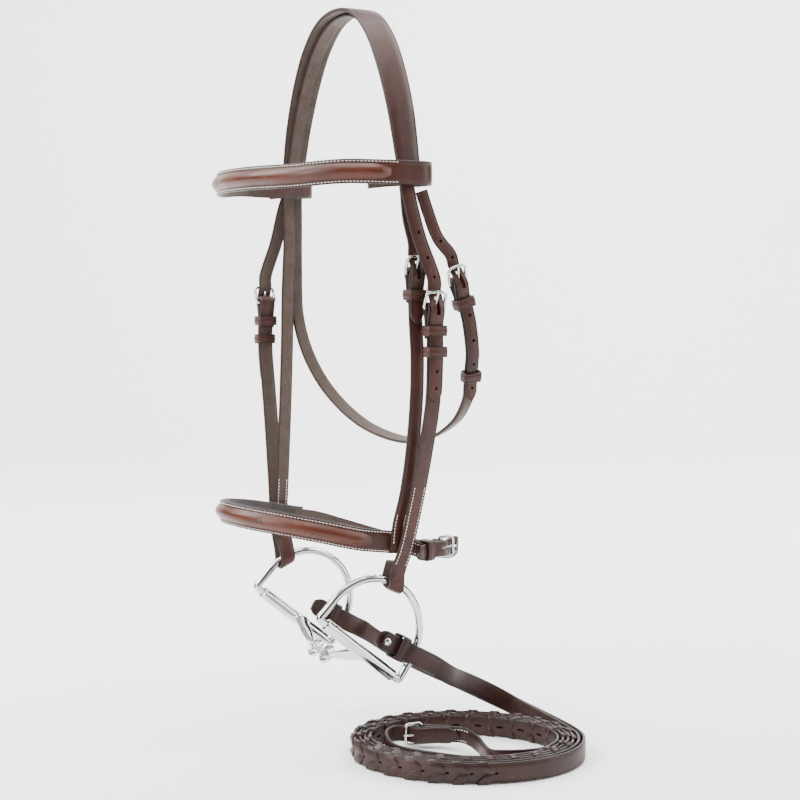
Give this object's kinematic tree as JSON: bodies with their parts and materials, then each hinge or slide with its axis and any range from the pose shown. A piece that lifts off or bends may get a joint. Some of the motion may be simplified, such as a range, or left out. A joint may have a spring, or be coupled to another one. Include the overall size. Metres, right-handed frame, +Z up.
{
  "type": "snaffle bridle",
  "caption": "Leather snaffle bridle with raised browband and noseband, D-ring double-jointed bit and laced reins, hanging from its poll with the reins coiled below.",
  "frame": {"origin": "underside of the headpiece at the poll, midway between the two sides", "axes": "+Z up, -Y towards the front of the horse's face, +X towards the horse's left (near) side"},
  "size_m": [0.2962, 0.2616, 0.5932],
  "materials": {
    "grain": "smooth dark havana bridle leather, waxed",
    "flesh": "matt fibrous flesh side, dressed",
    "padded": "smooth raised leather, burnished",
    "lining": "soft dark padded lining",
    "rein": "dark rein leather, waxed",
    "stitching": "waxed cream linen thread",
    "steel": "polished stainless steel",
    "link_steel": "worn grey cast steel"
  },
  "bodies": {
    "head_frame": {"headpiece": "grain", "noseband_sliphead": "flesh", "near_cheekpiece": "grain", "near_cheek_buckle_frame": "steel", "near_cheek_keeper": "grain", "off_cheekpiece": "grain", "off_cheek_buckle_frame": "steel", "off_cheek_keeper": "grain", "near_noseband_hanger": "grain", "hanger_buckle_frame": "steel", "hanger_keeper": "grain", "noseband": "grain", "noseband_roll": "padded", "noseband_lining": "lining", "chin_strap": "grain", "chin_buckle_frame": "steel", "chin_keeper": "grain"},
    "browband_band": {"browband": "grain", "browband_roll": "padded"},
    "near_cheek_loop": {"near_cheek_runner": "grain"},
    "off_cheek_loop": {"off_cheek_runner": "grain"},
    "throat_assembly": {"throat_billet": "grain", "throatlatch": "grain", "throat_buckle_frame": "steel", "throat_keeper": "grain"},
    "throat_loop": {"throat_runner": "grain"},
    "bit": {"near_d_ring": "steel", "off_d_ring": "steel"},
    "near_arm": {"near_mouthpiece_arm": "steel"},
    "off_arm": {"off_mouthpiece_arm": "steel"},
    "link": {"mouthpiece_link": "link_steel"},
    "reins": {"near_rein_lead": "rein", "near_rein_billet": "rein", "near_rein_keeper": "rein", "near_rein_hook_stud": "steel", "off_rein_lead": "rein", "off_rein_billet": "rein", "off_rein_keeper": "rein", "off_rein_hook_stud": "steel", "rein_coil": "rein", "near_rein_end": "rein", "off_rein_end": "rein", "rein_buckle_frame": "steel"},
    "near_cheek_tongue": {"near_cheek_buckle_tongue": "steel"},
    "off_cheek_tongue": {"off_cheek_buckle_tongue": "steel"},
    "hanger_tongue": {"hanger_buckle_tongue": "steel"},
    "chin_tongue": {"chin_buckle_tongue": "steel"},
    "throat_tongue": {"throat_buckle_tongue": "steel"},
    "rein_tongue": {"rein_buckle_tongue": "steel"}
  },
  "joints": [
    {"name": "near_cheek_tongue_lift", "type": "hinge", "parent": "head_frame", "child": "near_cheek_tongue", "pos_m": [0.109, 0.019, -0.232], "axis": [0, 1, 0], "range_deg": [0, 10]},
    {"name": "off_cheek_tongue_lift", "type": "hinge", "parent": "head_frame", "child": "off_cheek_tongue", "pos_m": [-0.109, -0.027, -0.23], "axis": [0, -1, 0], "range_deg": [0, 10]},
    {"name": "hanger_tongue_lift", "type": "hinge", "parent": "head_frame", "child": "hanger_tongue", "pos_m": [0.0965, 0.009, -0.205], "axis": [0, 1, 0], "range_deg": [0, 5]},
    {"name": "chin_tongue_lift", "type": "hinge", "parent": "head_frame", "child": "chin_tongue", "pos_m": [0.065, 0.048, -0.4245], "axis": [0, 0, -1], "range_deg": [0, 10]},
    {"name": "throat_tongue_lift", "type": "hinge", "parent": "throat_assembly", "child": "throat_tongue", "pos_m": [0.104, 0.043, -0.212], "axis": [0, 0.9536, 0.3011], "range_deg": [0, 10]},
    {"name": "rein_tongue_lift", "type": "hinge", "parent": "reins", "child": "rein_tongue", "pos_m": [0.06598, 0.03349, -0.5762], "axis": [0, 0, 1], "range_deg": [0, 10]},
    {"name": "browband_slide", "type": "slide", "parent": "head_frame", "child": "browband_band", "axis": [0, 0, 1], "range_m": [-0.002, 0.004]},
    {"name": "near_runner_slide", "type": "slide", "parent": "head_frame", "child": "near_cheek_loop", "axis": [0, 0, 1], "range_m": [-0.006, 0.004]},
    {"name": "off_runner_slide", "type": "slide", "parent": "head_frame", "child": "off_cheek_loop", "axis": [0, 0, 1], "range_m": [-0.006, 0.004]},
    {"name": "throatlatch_swing", "type": "hinge", "parent": "head_frame", "child": "throat_assembly", "pos_m": [0, 0.011, -0.143], "axis": [1, 0, 0], "range_deg": [-1, 20]},
    {"name": "throat_runner_slide", "type": "slide", "parent": "throat_assembly", "child": "throat_loop", "axis": [0.2905, -0.1002, 0.9516], "range_m": [-0.003, 0.003]},
    {"name": "bit_swing", "type": "hinge", "parent": "head_frame", "child": "bit", "pos_m": [0, -0.01179, -0.48868], "axis": [1, 0, 0], "range_deg": [-10, 10]},
    {"name": "near_arm_rock", "type": "hinge", "parent": "bit", "child": "near_arm", "pos_m": [0.064, -0.022, -0.501], "axis": [0, 0.77, -0.638], "range_deg": [-3, 3]},
    {"name": "off_arm_rock", "type": "hinge", "parent": "bit", "child": "off_arm", "pos_m": [-0.064, -0.022, -0.501], "axis": [0, 0.77, -0.638], "range_deg": [-3, 3]},
    {"name": "link_rock", "type": "hinge", "parent": "near_arm", "child": "link", "pos_m": [0.011, -0.02554, -0.51625], "axis": [0, 0.77, -0.638], "range_deg": [-17.5, 17.5]},
    {"name": "rein_lift", "type": "hinge", "parent": "head_frame", "child": "reins", "pos_m": [0, -0.01179, -0.48868], "axis": [1, 0, 0], "range_deg": [0, 25]}
  ],
  "couplings": [
    {"joint": "off_arm_rock", "follows": "near_arm_rock", "ratio": 1},
    {"joint": "link_rock", "follows": "near_arm_rock", "ratio": -5.8}
  ]
}
